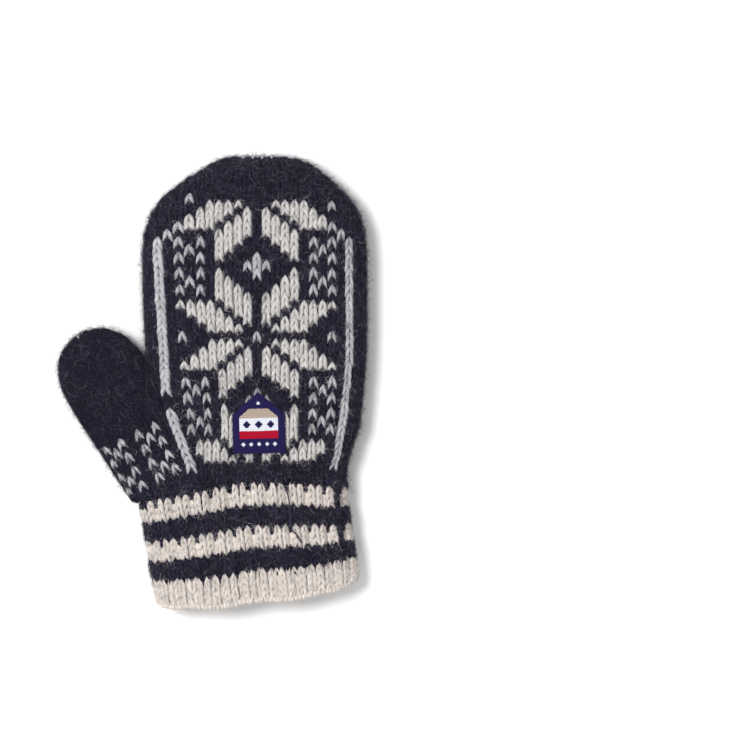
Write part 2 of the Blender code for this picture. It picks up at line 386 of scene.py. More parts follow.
HAND_FIRST = -0.08
THUMB_REACH = 0.030
CUFF_FIRST = -0.20
hand_start = HAND_FIRST * HAND_LENGTH - WRIST_DROP
hand_skins = {face: Skin(hand_loops, HAND_FIRST, hand_start, face, from_middle=False) for face in (1, -1)}
thumb_skins = {face: Skin(thumb_loops, 0.0, 0.0, face, THUMB_REACH) for face in (1, -1)}
cuff_skin = Skin(cuff_loops, CUFF_FIRST, CUFF_FIRST * CUFF_LENGTH, 1, in_girths=True)
cuff_inside = Skin(cuff_inside_loops, 0.0, 0.0, 1, in_girths=True)


def back_colour(column, row):
    """The chart of the back: eight-petal stars with a cross between them and dotted sides."""
    side = abs(column)
    if (side == STRIPE_COLUMN and row <= 12) or (side, row) in ((9, 13), (8, 14)):
        return ASH
    if (column, row) in ((-7, 18), (8, 17)):
        return ASH
    if row > PATTERN_TOP or row < PATTERN_BOTTOM or side > 8:
        return NAVY
    if abs(row) == 9 and side <= 1 or abs(row) in (8, 10) and side == 0:
        return ASH
    for centre in STAR_ROWS:
        rise = abs(row - centre)
        if 1 <= rise <= 4 and rise + 1 <= side <= rise + 4:
            return CREAM
        if 1 <= side <= 4 and side + 1 <= rise <= side + 4:
            return CREAM
        if rise == 0 and side in (0, 8):
            return ASH
        if rise in (6, 8) and side in (6, 8) or rise == 7 and side == 7:
            return ASH
    return NAVY


def palm_colour(column, row):
    """The chart of the palm: a light ground strewn with small dark crosses."""
    side = abs(column)
    if side == STRIPE_COLUMN and row <= 12:
        return ASH
    if side > 8 or row > PATTERN_TOP or row < PATTERN_BOTTOM or side + max(0, row - 12) > 11:
        return NAVY
    for shift in (0, 1):
        across = (column - 3 * shift + 3) % 6 - 3
        along = (row - 2 * shift + 2) % 4 - 2
        if abs(across) + abs(along) <= 1:
            return NAVY
    return ASH


def thumb_colour(column, row):
    """Two rows of small crosses round the root of the thumb."""
    for centre in (0, 4):
        across, along = (column + 2) % 4 - 2, row - centre
        if (across, along) == (0, 0) or abs(across) == 1 and abs(along) == 1:
            return ASH
    return NAVY


def cuff_colour(row):
    """Stripes of three rows, and a light hem."""
    below = WRIST_ROW - row
    return MILK if 1 <= below <= 3 or 7 <= below <= 9 or below >= 13 else NAVY


def row_height(row):
    """Lengths of rows from the middle of the star: the wool is drawn out above and below it."""
    return row * ROW + np.interp(row, *zip(*ROW_STRETCH))


def stripe_at(path, y):
    points = np.array(path)[::-1]
    return np.interp(y, points[:, 0], points[:, 1])


# The sag of the last rows of the hand, in millimetres: its middle, slopes and roundness.
SAG_MIDDLE = 5.0
SAG_LEFT, SAG_RIGHT = 0.18, 0.09
SAG_ROUND = 60.0


def wrist_drop_at(x):
    """How far the last rows of the hand sink below their own level along the cuff."""
    x = x * 1000.0
    slope = np.where(x < SAG_MIDDLE, SAG_LEFT, SAG_RIGHT)
    bend = np.sqrt((x - SAG_MIDDLE) ** 2 + SAG_ROUND) - math.sqrt(SAG_ROUND)
    return -0.001 * (0.4 + slope * bend)


def lay_hand(column, row, home, face):
    """Lengths on the hand's skin for chart coordinates of stitches in home columns, in arrays.

    Inner columns are straight and lean a little towards the little finger near the thumb.
    From the stripes outwards they follow the stripes' own paths. The sewn patch draws up the
    rows beside its ridge.
    """
    y = row_height(row)
    lean = np.interp(y, *LEAN_BY_Y) * np.interp(column, *LEAN_BY_COLUMN)
    lean = lean - 0.0008 * smooth_step((column - 2.0) / 6.0) * smooth_step((-0.02 - y) / 0.02)
    across = MIDDLE_COLUMN + COLUMN * column + lean
    for sign, path in ((-1, LEFT_STRIPE), (1, RIGHT_STRIPE)):
        side, home_side = column * sign, home * sign
        near = (MIDDLE_COLUMN * sign + COLUMN * STRAIGHT_COLUMNS) + (lean * sign)
        edge = stripe_at(path, y) * sign - STRIPE_HALF * COLUMN
        pitch = np.maximum(COLUMN, (edge - near) / SPREAD_COLUMNS)
        inner = (home_side > STRAIGHT_COLUMNS) & (home_side < STRIPE_COLUMN)
        across = np.where(inner, sign * (near + (side - STRAIGHT_COLUMNS) * pitch), across)
        on_stripe = (side - STRIPE_COLUMN) * STRIPE_WIDTHS[sign]
        outer = np.where(home_side == STRIPE_COLUMN, on_stripe, side - STRIPE_MIDDLE)
        off = stripe_at(path, y) + sign * outer * COLUMN
        across = np.where(home_side >= STRIPE_COLUMN, off, across)
    drop = wrist_drop_at(across)
    sink = smooth_step((PATTERN_BOTTOM - 0.5 - row) / (PATTERN_BOTTOM - WRIST_ROW))
    beside = smooth_step((PULL_COLUMNS - np.abs(column)) / 3.5)
    pull = PATCH_PULL * beside * np.exp(-((row - PULL_ROW) / PULL_ROWS) ** 2)
    along = y + drop * sink + pull * (face > 0)
    low_line = (WRIST_ROW - 0.5) * ROW + drop
    on_gusset = (home < GUSSET_COLUMN) & (row < PATTERN_BOTTOM - 1)
    along = np.where(on_gusset, low_line + (row - WRIST_ROW + 0.5) * ROW, along)
    share = (along + WRIST_DROP) / HAND_LENGTH
    slant = np.interp(share, HAND_SHAPE["along"], HAND_SHAPE["lean"]) * math.tan(CUFF_TURN)
    return across * face, along - slant * across


def hand_stitches(face):
    """Chart places of the back or the palm, without what the folds and stripes take away."""
    skin = hand_skins[face]
    colour_of = back_colour if face > 0 else palm_colour
    spare = COLUMN * (0.35 if face > 0 else -0.15)
    chosen = []
    for row in range(WRIST_ROW, TOP_ROW + 1):
        for column in range(-SIDE_COLUMNS - 1, SIDE_COLUMNS + 2):
            across, along = lay_hand(np.float64(column), np.float64(row), column, face)
            low, high = skin.fold_limits(along)
            if not low - spare < across < high + spare or along > skin.length() - 0.5 * ROW:
                continue
            if column < -STRIPE_COLUMN and along < CROTCH and row > PATTERN_BOTTOM - 2:
                continue
            crowded = False
            if abs(column) < STRIPE_COLUMN and row >= PATTERN_BOTTOM:
                x, y = across * face, row_height(row)
                room = min(x - stripe_at(LEFT_STRIPE, y), stripe_at(RIGHT_STRIPE, y) - x) / COLUMN
                if room < 0.5:
                    continue
                crowded = row < 8 and room < 1.15
            gap_row = face > 0 and column == -STRIPE_COLUMN and row in (-8, -9)
            if abs(column) == STRIPE_COLUMN and STRIPE_END <= row < PATTERN_BOTTOM:
                colour = ASH
            elif row < PATTERN_BOTTOM or gap_row or crowded:
                colour = NAVY
            else:
                colour = colour_of(column, row)
            chosen.append((column, row, colour))
    return np.array(chosen)


# The thumb's chart: where row 0 and its middle column lie, and how far its root is turned.
THUMB_START = 0.0150
THUMB_MIDDLE = 0.0020
THUMB_ROW = 0.0032
THUMB_ROWS = range(-5, 27)
THUMB_COLUMNS = range(-8, 8)
ROOT_TURN = 0.12
ROOT_PIVOT = (-0.0056, 0.0215)


def lay_thumb(column, row, home, face):
    """Lengths on the thumb's skin, where the rows near its root are turned to the hand.

    At the tip its columns are drawn together.
    """
    across = THUMB_MIDDLE + column * COLUMN
    along = THUMB_START + row * THUMB_ROW
    turn = ROOT_TURN * (1.0 - smooth_step((along - 0.030) / 0.025))
    turned_across = (across + turn * (along - ROOT_PIVOT[1])) * face
    along = along - turn * (across - ROOT_PIVOT[0])
    low, high = thumb_skins[face].fold_limits(along)
    over = np.minimum(0.0025, 0.2 * (high - low))
    return np.clip(turned_across, low - over, high + over), along


def thumb_stitches(face):
    """Chart places of one face of the thumb, down to where the hand and the cuff begin."""
    skin = thumb_skins[face]
    spare = COLUMN * (0.45 if face > 0 else -0.15)
    chosen = []
    for row in THUMB_ROWS:
        for column in THUMB_COLUMNS:
            across, along = lay_thumb(np.float64(column), np.float64(row), column, face)
            low, high = skin.fold_limits(along)
            if not low - spare < across < high + spare:
                continue
            if not 0.0 <= along <= skin.length() - 0.4 * ROW:
                continue
            x, y, _ = skin.find(across, along)[0]
            if y < CROTCH + SPAN_ABOVE and x > stripe_at(LEFT_STRIPE, y) - 0.75 * COLUMN:
                continue
            above_cuff = (2.1 if x > -0.043 else 0.3) * ROW
            if y < (WRIST_ROW - 0.5) * ROW + wrist_drop_at(x) + above_cuff:
                continue
            chosen.append((column, row, thumb_colour(column, row)))
    return np.array(chosen)


# The cuff's chart, its seam and gusset, and its ribs: their offset, half width and depth.
CUFF_ROWS = range(-35, -19)
INSIDE_ROWS = range(-35, -28)
HEM_TOP = -32
HEM_ROW = -35.55
HEM_STEP = 0.2
CUFF_GIRTH = 0.200
CUFF_SEAM = 0.0375
GUSSET_EDGE = -0.0455
RIB_PHASE = -0.0015
RIB_HALF = 0.226
RIB_DEEP = 0.0018

# Where the first cuff row begins, as (across, above the wrist line).
CUFF_LINE = ((-0.0419, 0.0001), (-0.018, 0.0020), (-0.0004, 0.0038), (0.020, 0.0015), (0.0398, -0.0028))


def lay_cuff(rib, row, home=None):
    """Girth share and length on the cuff's skin for ribs counted from the middle of the top."""
    share = (rib / RIB_COUNT + RIB_PHASE / CUFF_GIRTH + 0.5) % 1.0 - 0.5
    place, _ = cuff_skin.find(share, np.zeros_like(share))
    across, _ = world_to_cuff(place[..., 0], place[..., 1])
    line = np.interp(across, *zip(*CUFF_LINE))
    down = (WRIST_ROW - 0.5 - row) / len(CUFF_ROWS)
    return share, CUFF_LENGTH * down - line * (1.0 - down)


def rib_height(rib):
    """How deep the fabric lies across the ribs, from nothing on a crest."""
    off_crest = np.abs((rib + 0.5) % 1.0 - 0.5)
    return -RIB_DEEP * smooth_step((off_crest - 0.22) / 0.24)


# The rings of a strand, as (swell over the ring before it, rise).
STRAND_RINGS = ((3.6, 0.16), (1.55, 0.20), (1.12, 0.22), (0.80, 0.22), (0.36, 0.20))


def make_leg():
    """One strand about the origin: a spindle one unit long, wide and deep."""
    bpy.ops.object.select_all(action="DESELECT")
    bpy.ops.mesh.primitive_circle_add(vertices=6, radius=0.07, location=(0, 0, 0), fill_type="TRIFAN")
    leg = bpy.context.object
    bpy.ops.object.mode_set(mode="EDIT")
    bpy.ops.mesh.select_all(action="SELECT")
    bpy.ops.mesh.normals_make_consistent(inside=False)
    for swell, rise in STRAND_RINGS:
        bpy.ops.mesh.extrude_region_move(TRANSFORM_OT_translate={"value": (0, 0, rise)})
        bpy.ops.transform.resize(value=(swell, swell, 1.0))
    bpy.ops.object.mode_set(mode="OBJECT")
    shape = bmesh.new()
    shape.from_mesh(leg.data)
    bmesh.ops.recalc_face_normals(shape, faces=shape.faces)
    points = np.array([vertex.co for vertex in shape.verts])
    faces = [[vertex.index for vertex in face.verts] for face in shape.faces]
    shape.free()
    bpy.data.objects.remove(leg)
    points[:, 2] = points[:, 2] / points[:, 2].max() - 0.5
    return points, faces


LEG_POINTS, LEG_FACES = make_leg()
LEG_WIDTH = 0.49
LEG_DEPTH = 0.0023
LEG_REACH = 1.72
LEG_OFF_MIDDLE = 0.235
LEG_SLANT = 0.36


def leg_shape(sign, thickness=1.0):
    """Chart offsets (column, row, height) of a stitch's left or right leg, which is bowed."""
    along = LEG_POINTS[:, 2]
    width = LEG_POINTS[:, 0] * LEG_WIDTH * thickness
    column = sign * (LEG_OFF_MIDDLE - LEG_SLANT * along) + width
    bowed = -0.0009 - 0.0010 * along * along
    return np.stack((column, along * LEG_REACH - 0.06, LEG_POINTS[:, 1] * LEG_DEPTH + bowed), axis=1)


LEGS = (leg_shape(-1), leg_shape(1))
CUFF_LEGS = (leg_shape(-1, 1.12), leg_shape(1, 1.12))


def lying_shape(width, thickness, rise):
    """Chart offsets of a strand that lies across its column."""
    return np.stack((LEG_POINTS[:, 2] * width, -LEG_POINTS[:, 0] * thickness, rise), axis=1)


# The bump of a purl stitch, deep in its groove, and one strand of the chain along the hem.
PURL = lying_shape(0.44, 1.7, LEG_POINTS[:, 1] * 0.0022 - 0.0020 - 0.0014 * np.abs(LEG_POINTS[:, 2]))
CHAIN = lying_shape(0.30, 1.1, LEG_POINTS[:, 1] * 0.0034 - 0.0013)


def new_object(name, data):
    item = bpy.data.objects.new(name, data)
    bpy.context.scene.collection.objects.link(item)
    return item


def mesh_from_copies(name, points, faces, copies, materials):
    """One mesh of many equal closed shapes, from points already laid out copy by copy."""
    corners = np.array([corner for face in faces for corner in face])
    sizes = np.array([len(face) for face in faces])
    per_copy = points.shape[1]
    loops = (corners[None, :] + np.arange(copies)[:, None] * per_copy).ravel()
    starts = np.concatenate(([0], np.cumsum(np.tile(sizes, copies))[:-1]))
    mesh = bpy.data.meshes.new(name)
    mesh.vertices.add(copies * per_copy)
    mesh.vertices.foreach_set("co", points.reshape(-1).astype(np.float32))
    mesh.loops.add(len(loops))
    mesh.loops.foreach_set("vertex_index", loops.astype(np.int32))
    mesh.polygons.add(len(starts))
    mesh.polygons.foreach_set("loop_start", starts.astype(np.int32))
    mesh.update(calc_edges=True)
    mesh.validate()
    mesh.shade_smooth()
    for material in materials:
        mesh.materials.append(material)
    return new_object(name, mesh)


def points_of(mesh):
    places = np.empty(len(mesh.vertices) * 3)
    mesh.vertices.foreach_get("co", places)
    return places.reshape(-1, 3)


def set_colours(piece, choice, faces_per_copy):
    """The wool of each strand, as a material for its faces."""
    indices = np.repeat(choice, faces_per_copy).astype(np.int32)
    piece.data.polygons.foreach_set("material_index", indices)


def set_shades(piece, shades, points_per_copy):
    """How much lighter or darker each strand or hair is, stored on its points."""
    layer = piece.data.attributes.new("shade", "FLOAT", "POINT")
    layer.data.foreach_set("value", np.repeat(shades, points_per_copy).astype(np.float32))


def set_yarn_map(piece, copies, along, around):
    """UVs that run along each leg, shifted for every copy so that no two look alike."""
    shift = random.random((copies, 2)) * 7.0
    u = (shift[:, :1] + along[None, :]).ravel()
    v = (shift[:, 1:] + around[None, :]).ravel()
    vertex_of = np.empty(len(piece.data.loops), dtype=np.int32)
    piece.data.loops.foreach_get("vertex_index", vertex_of)
    layer = piece.data.uv_layers.new(name="yarn")
    pairs = np.stack((u[vertex_of], v[vertex_of]), axis=1)
    layer.data.foreach_set("uv", pairs.ravel().astype(np.float32))


def nodes_of(name):
    material = bpy.data.materials.new(name)
    material.use_nodes = True
    tree = material.node_tree
    return material, tree, tree.nodes["Principled BSDF"]


def set_socket(tree, socket, value):
    """Links a socket to another one, or gives it a plain value."""
    if isinstance(value, bpy.types.NodeSocket):
        tree.links.new(value, socket)
    else:
        socket.default_value = value


def feed(tree, node, **inputs):
    """Sets a node's inputs, which are named with underscores for spaces."""
    for name, value in inputs.items():
        set_socket(tree, node.inputs[name.replace("_", " ")], value)


def add_node(tree, kind, **inputs):
    node = tree.nodes.new("ShaderNode" + kind)
    feed(tree, node, **inputs)
    return node


def add_math(tree, operation, *values):
    node = add_node(tree, "Math")
    node.operation = operation
    for socket, value in zip(node.inputs, values):
        set_socket(tree, socket, value)
    return node.outputs["Value"]


def noise_in_place(tree, **settings):
    """Noise that is fixed to the object's own places."""
    place = add_node(tree, "TexCoord").outputs["Object"]
    return add_node(tree, "TexNoise", Vector=place, **settings).outputs["Fac"]


def stored(tree, name, output):
    """A value or colour that is stored on the mesh."""
    node = add_node(tree, "Attribute")
    node.attribute_name = name
    return node.outputs[output]


def blend(tree, share, *stops):
    """A colour between two, each given with the share at which it is reached."""
    ramp = add_node(tree, "ValToRGB", Fac=share)
    for element, (position, colour) in zip(ramp.color_ramp.elements, stops):
        element.position = position
        element.color = (*colour, 1.0)
    return ramp.outputs["Color"]


def tinted(tree, colour, shade):
    tint = add_node(tree, "MixRGB", Fac=1.0, Color1=colour, Color2=shade)
    tint.blend_type = "MULTIPLY"
    return tint.outputs["Color"]


def relief(tree, height, strength, distance):
    return add_node(tree, "Bump", Height=height, Strength=strength, Distance=distance).outputs["Normal"]


def wool(name, colour, other, sheen, bump):
    """Brushed wool: strands of two close shades along the yarn, darker or lighter by stitch."""
    material, tree, shader = nodes_of(name)
    yarn = add_node(tree, "UVMap")
    yarn.uv_map = "yarn"
    stretched = add_node(tree, "Mapping", Vector=yarn.outputs["UV"], Scale=(2.2, 9.0, 1.0)).outputs["Vector"]
    strands = add_node(tree, "TexNoise", Vector=stretched, Scale=2.0, Detail=3.0, Roughness=0.6)
    fuzz = noise_in_place(tree, Scale=1500.0, Detail=2.0, Roughness=0.7)
    both = add_math(tree, "MULTIPLY_ADD", strands.outputs["Fac"], 1.2, fuzz)
    mixed = blend(tree, both, (0.80, other), (1.0, colour))
    feed(tree, shader, Base_Color=tinted(tree, mixed, stored(tree, "shade", "Fac")),
         Normal=relief(tree, both, bump, 0.0004), Roughness=1.0, Specular_IOR_Level=0.1,
         Sheen_Weight=sheen, Sheen_Roughness=0.6)
    return material


def felt(name, colour, other):
    """The matted ground behind the stitches, coloured darker than its wool as painted shade in the gaps
    between the legs.
    """
    material, tree, shader = nodes_of(name)
    matted = noise_in_place(tree, Scale=900.0, Detail=4.0, Roughness=0.7)
    feed(tree, shader, Base_Color=blend(tree, matted, (0.35, other), (0.65, colour)),
         Normal=relief(tree, matted, 0.6, 0.0006), Roughness=1.0, Specular_IOR_Level=0.1, Sheen_Weight=0.1)
    return material


def fibre(name, colour):
    """Loose hairs of wool, a little lighter or darker one by one."""
    material, tree, shader = nodes_of(name)
    feed(tree, shader, Base_Color=tinted(tree, (*colour, 1.0), stored(tree, "shade", "Fac")),
         Roughness=0.9, Specular_IOR_Level=0.2)
    return material


WOOLS = (
    wool("navy_wool", (0.0150, 0.0128, 0.0290), (0.0058, 0.0050, 0.0118), 0.04, 0.8),
    wool("star_wool", (0.68, 0.655, 0.645), (0.36, 0.345, 0.335), 0.1, 1.0),
    wool("ash_wool", (0.52, 0.505, 0.54), (0.24, 0.235, 0.255), 0.1, 1.0),
    wool("cuff_wool", (0.765, 0.695, 0.645), (0.42, 0.375, 0.335), 0.1, 1.0),
)
# Each felt is darker than the wool above it: painted shade in the gaps between the stitches.
SHADED_FELTS = (
    felt("navy_felt_painted_shade", (0.0120, 0.0104, 0.0235), (0.0060, 0.0052, 0.0120)),
    felt("star_felt_painted_shade", (0.30, 0.28, 0.26), (0.10, 0.095, 0.095)),
    felt("ash_felt_painted_shade", (0.20, 0.195, 0.21), (0.08, 0.075, 0.085)),
    felt("cuff_felt_painted_shade", (0.56, 0.51, 0.46), (0.36, 0.33, 0.29)),
)
SHADE_SPREAD = (0.16, 0.06, 0.08, 0.05)
TUCKED = 0.55

# How far a stitch is out of true: across, along, in width, in length and in height.
OUT_OF_TRUE = (0.03, 0.045, 0.07, 0.03, 0.00008)
ABOVE_TABLE = 0.00005


def tucked_share(stitches):
    """How much of its lower half each stitch hides: the lowest cream ones sink into the navy."""
    cream = {(column, row) for column, row, colour in stitches if colour == CREAM}
    lowest = [(column, row) in cream and (column, row - 1) not in cream for column, row, _ in stitches]
    return np.where(lowest, TUCKED, 0.0)


def knit(name, stitches, lay, skin, shapes, lift=None, height=None):
    """Lays every stitch's strands on a skin, each a little out of true.

    It returns the piece, with the place, outward direction and colour of each stitch.
    """
    count, strands = len(stitches), len(shapes)
    mirrored = skin.outward[len(skin.outward) // 2, skin.ACROSS // 2, 2] < 0.0
    columns, rows = stitches[:, 0], stitches[:, 1]
    choice = stitches[:, 2].astype(int)
    jitter = random.normal(0.0, 1.0, (strands, count, 5)) * OUT_OF_TRUE
    tucked = tucked_share(stitches)[:, None]
    layers = []
    for shape, wobble in zip(shapes, jitter):
        off_across, off_along, wider, longer, higher = wobble.T[:, :, None]
        middle = shape[:, 0].mean()
        column = columns[:, None] + (shape[None, :, 0] - middle) * (1.0 + wider) + middle + off_across
        reach = shape[None, :, 1] - tucked * np.minimum(shape[None, :, 1], 0.0)
        row = rows[:, None] + reach * (1.0 + longer) + off_along
        place, outward = skin.find(*lay(column, row, columns[:, None]))
        rise = shape[None, :, 2] + higher
        if height is not None:
            rise = rise + height(column, columns[:, None])
        place = place + outward * rise[..., None]
        place = lift(place) if lift else place
        place[..., 2] = np.maximum(place[..., 2], ABOVE_TABLE)
        layers.append(place)
    copies = strands * count
    points = np.stack(layers, axis=1).reshape(copies, len(LEG_POINTS), 3)
    piece = mesh_from_copies(name, points, LEG_FACES, copies, WOOLS)
    if mirrored:
        piece.data.flip_normals()
    each = np.repeat(choice, strands)
    set_colours(piece, each, len(LEG_FACES))
    shades = 1.0 + np.array(SHADE_SPREAD)[each] * random.normal(0.0, 1.0, copies)
    set_shades(piece, shades, len(LEG_POINTS))
    around = np.arctan2(LEG_POINTS[:, 1], LEG_POINTS[:, 0]) / math.tau
    set_yarn_map(piece, copies, LEG_POINTS[:, 2], np.abs(around))
    place, outward = skin.find(*lay(columns, rows, columns))
    return piece, (lift(place) if lift else place), outward, choice


def on_side(z, level, face):
    """From 0 beyond the fold to 1 on the face that is meant, at heights z."""
    return smooth_step(((z - level) * face + 0.001) / 0.003)


def lift_joined(own_height, face):
    """Moves points of the hand or thumb onto the one fabric that spans the gusset."""
    def lift(place):
        x, y, z = place[..., 0], place[..., 1], place[..., 2]
        change = joined_height(x, y, face) - own_height(x, y, face)
        on_face = on_side(z, FOLD_LEVEL * THUMB_HEIGHT, face)
        place = place.copy()
        place[..., 2] = z + change * on_face * near_gusset(x, y)
        return place
    return lift


def near_gusset(x, y):
    return smooth_step((GUSSET_SIDE - x) / GUSSET_SOFT) * smooth_step((0.004 - y) / 0.008)


def stripe_relief(column, home):
    """The side stripes stand a little above the stitches that they run over."""
    return np.where(np.abs(home) == STRIPE_COLUMN, 0.0003, 0.0)


fabric = {}
for face, side in ((1, "back"), (-1, "palm")):
    fabric[side] = knit(side + "_stitches", hand_stitches(face), partial(lay_hand, face=face),
                        hand_skins[face], LEGS, lift_joined(hand_height, face), stripe_relief)
    fabric["thumb_" + side] = knit("thumb_" + side + "_stitches", thumb_stitches(face),
                                   partial(lay_thumb, face=face), thumb_skins[face], LEGS,
                                   lift_joined(thumb_height, face))


def rib_of(column, home):
    """Ribs from chart columns, two to a rib, which are drawn together on its crest."""
    crest = np.round(home / 2.0)
    return crest + (column - 2.0 * crest) * 2.0 * RIB_HALF


def lay_cuff_columns(column, row, home):
    return lay_cuff(rib_of(column, home), row)


def lay_cuff_inside(column, row, home):
    share, along = lay_cuff(rib_of(column, home) + 0.5, row)
    return -share, along


ribs = range(-RIB_COUNT // 2, RIB_COUNT // 2)
cuff_columns = [2.0 * rib + side for rib in ribs for side in (-0.5, 0.5)]


def cuff_chart(rows, columns, seam=None, gusset=()):
    """Stitches of the cuff, with a dark column where the rounds of its stripes begin and end.

    The first stitches below the gusset are dark too.
    """
    chart = []
    for row in rows:
        for column in columns:
            dark = column == seam and row > HEM_TOP or column in gusset and row == WRIST_ROW - 1
            chart.append((column, row, NAVY if dark else cuff_colour(row)))
    return np.array(chart)


def cuff_columns_at(row):
    """The columns of the cuff, and their places at a row."""
    columns = np.array(cuff_columns)
    places, _ = cuff_skin.find(*lay_cuff_columns(columns, row, columns))
    return columns, places


def seam_column():
    """The column of the cuff that runs down its right edge, on the upper face."""
    columns, places = cuff_columns_at(-24.0)
    off = np.abs(places[:, 0] - CUFF_SEAM) + np.where(places[:, 2] < FOLD_LEVEL * CUFF_HEIGHT, 1.0, 0.0)
    return columns[np.argmin(off)]


def gusset_columns():
    """The columns of the cuff at its left edge, where the gusset runs down into it."""
    columns, places = cuff_columns_at(-20.0)
    return set(columns[places[:, 0] < GUSSET_EDGE])


def cuff_height(x, y):
    across, reach = world_to_cuff(x, y)
    along = -reach / CUFF_LENGTH
    row = read_shape(CUFF_SHAPE, along)
    half = np.where(across > 0, row["right"], row["left"]) * WRIST_WIDTH / 2.0
    top = mix(WRIST_HEIGHT, CUFF_HEIGHT, np.clip(along, 0.0, 1.0))
    return face_height(np.clip(across / half, -1.0, 1.0), top, 0.0, 1)


def lift_cuff(place):
    """Brings the first cuff rows up to the fabric of the gusset beside them."""
    x, y, z = place[..., 0], place[..., 1], place[..., 2]
    change = np.maximum(0.0, joined_height(x, y, 1) - cuff_height(x, y))
    near = smooth_step((GUSSET_SIDE - x) / GUSSET_SOFT) * smooth_step((y + 0.0760) / 0.007)
    place = place.copy()
    place[..., 2] = z + change * near * on_side(z, FOLD_LEVEL * WRIST_HEIGHT, 1)
    return place


def crest_height(column, home):
    return rib_height(rib_of(column, home))


def inside_height(column, home):
    """The ribs show less deep from inside the mouth."""
    return crest_height(column, home) * 0.6


cuff_stitches = cuff_chart(CUFF_ROWS, cuff_columns, seam_column(), gusset_columns())
fabric["cuff"] = knit("cuff_stitches", cuff_stitches, lay_cuff_columns, cuff_skin, CUFF_LEGS,
                      lift_cuff, crest_height)

# In the grooves the first row of a stripe shows the colour of the row above it.
groove_chart = cuff_chart(CUFF_ROWS, [rib + 0.5 for rib in ribs])
groove_chart[np.isin(WRIST_ROW - groove_chart[:, 1], (1, 7, 13)), 2] = NAVY
fabric["grooves"] = knit("cuff_grooves", groove_chart, lay_cuff, cuff_skin, (PURL,), lift_cuff)
cuff_inside.outward *= -1.0
fabric["inside"] = knit("cuff_inside", cuff_chart(INSIDE_ROWS, cuff_columns), lay_cuff_inside,
                        cuff_inside, CUFF_LEGS, height=inside_height)
hem = np.array([(rib, HEM_ROW, MILK) for rib in np.arange(-RIB_COUNT // 2, RIB_COUNT // 2, HEM_STEP)])
fabric["hem"] = knit("hem_chain", hem, lay_cuff, cuff_skin, (CHAIN,))


def make_ground(node, name, families, depth=0.0010, grain=0.0013, reach=0.0023):
    """The matted fabric under the stitches: the node's own shell, a little thinner.

    Its faces are light only within reach of a light stitch, as the dark strands run on behind, and all are
    darker than their stitches, as painted shade between the legs.
    """
    bpy.ops.object.select_all(action="DESELECT")
    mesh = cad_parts[node].data.copy()
    ground = new_object(name, mesh)
    shape = bmesh.new()
    shape.from_mesh(mesh)
    bmesh.ops.remove_doubles(shape, verts=shape.verts, dist=0.00002)
    shape.to_mesh(mesh)
    shape.free()
    ground.select_set(True)
    bpy.context.view_layer.objects.active = ground
    remesh = ground.modifiers.new("Even", "REMESH")
    remesh.mode = "VOXEL"
    remesh.voxel_size = grain
    bpy.ops.object.modifier_apply(modifier=remesh.name)
    thin = ground.modifiers.new("Thin", "DISPLACE")
    thin.strength = -depth
    thin.mid_level = 0.0
    bpy.ops.object.modifier_apply(modifier=thin.name)
    mesh = ground.data
    mesh.materials.clear()
    for material in SHADED_FELTS:
        mesh.materials.append(material)
    places = np.concatenate([fabric[family][1] for family in families])
    choices = np.concatenate([fabric[family][3] for family in families])
    tree = kdtree.KDTree(len(places))
    for index, place in enumerate(places):
        tree.insert(place, index)
    tree.balance()
    for polygon in mesh.polygons:
        _, index, distance = tree.find(polygon.center)
        polygon.material_index = int(choices[index]) if distance < reach else NAVY
    mesh.shade_smooth()
    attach(ground, "root")
    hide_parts(node)
    return ground


SPAN_GROUND_DEPTH = 0.0009


def raise_ground(ground):
    """Brings the ground up behind the fabric that spans the gusset."""
    mesh = ground.data
    places = points_of(mesh)
    normals = np.array([vertex.normal[2] for vertex in mesh.vertices])
    x, y, z = places.T
    for face in (1, -1):
        wanted = joined_height(x, y, face) - face * SPAN_GROUND_DEPTH
        outer = (normals * face > 0.3) & ((z - FOLD_LEVEL * HAND_HEIGHT) * face > 0.001)
        low = (wanted - z) * face > 0
        z = mix(z, wanted, near_gusset(x, y) * (outer & low))
    places[:, 2] = z
    mesh.vertices.foreach_set("co", places.ravel())
    mesh.update()


raise_ground(make_ground("hand", "hand_ground", ("back", "palm")))
raise_ground(make_ground("thumb", "thumb_ground", ("thumb_back", "thumb_palm")))
make_ground("cuff", "cuff_ground", ("cuff", "grooves", "inside"), 0.0012, reach=0.0032)

SLOTS = {"back": "navy_wool", "palm": "navy_wool", "thumb_back": "thumb_wool", "thumb_palm": "thumb_wool",
         "cuff": "cuff_wool", "grooves": "cuff_wool", "inside": "cuff_wool", "hem": "cuff_wool"}
for name, slot in SLOTS.items():
    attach(fabric[name][0], "root")

# The woven patch, a house shape with its ridge to the fingertips.
PATCH_WIDTH = 0.0218
PATCH_SHOULDER = 0.0164
PATCH_RIDGE = 0.0092
PATCH_TURN = math.radians(1.5)
PATCH_PLACE = (0.0024, -0.0495)
PATCH_LIFT = 0.0003
PATCH_THICKNESS = 0.0007
THREAD_NAVY, THREAD_SAND = (0.0150, 0.0110, 0.0700), (0.45, 0.36, 0.29)
THREAD_WHITE, THREAD_RED = (0.76, 0.78, 0.86), (0.42, 0.004, 0.024)

# Its bands from the lowest up, as (upper edge, thread), inside a dark border.
BANDS_HALF = 0.0080
BANDS_START = 0.0062
BANDS_END = 0.0186
ROOF_BORDER = 0.0036
BANDS = ((0.0094, THREAD_RED), (0.0147, THREAD_WHITE), (BANDS_END, THREAD_SAND))

# Rows of lozenges, as (height, half size, places across, thread).
LOZENGES = (
    (0.01205, 0.0017, (-0.0050, 0.0, 0.0050), THREAD_NAVY),
    (0.0038, 0.0009, (-0.0066, -0.0033, 0.0, 0.0033, 0.0066), THREAD_WHITE),
    (0.0209, 0.0008, (0.0,), THREAD_WHITE),
)


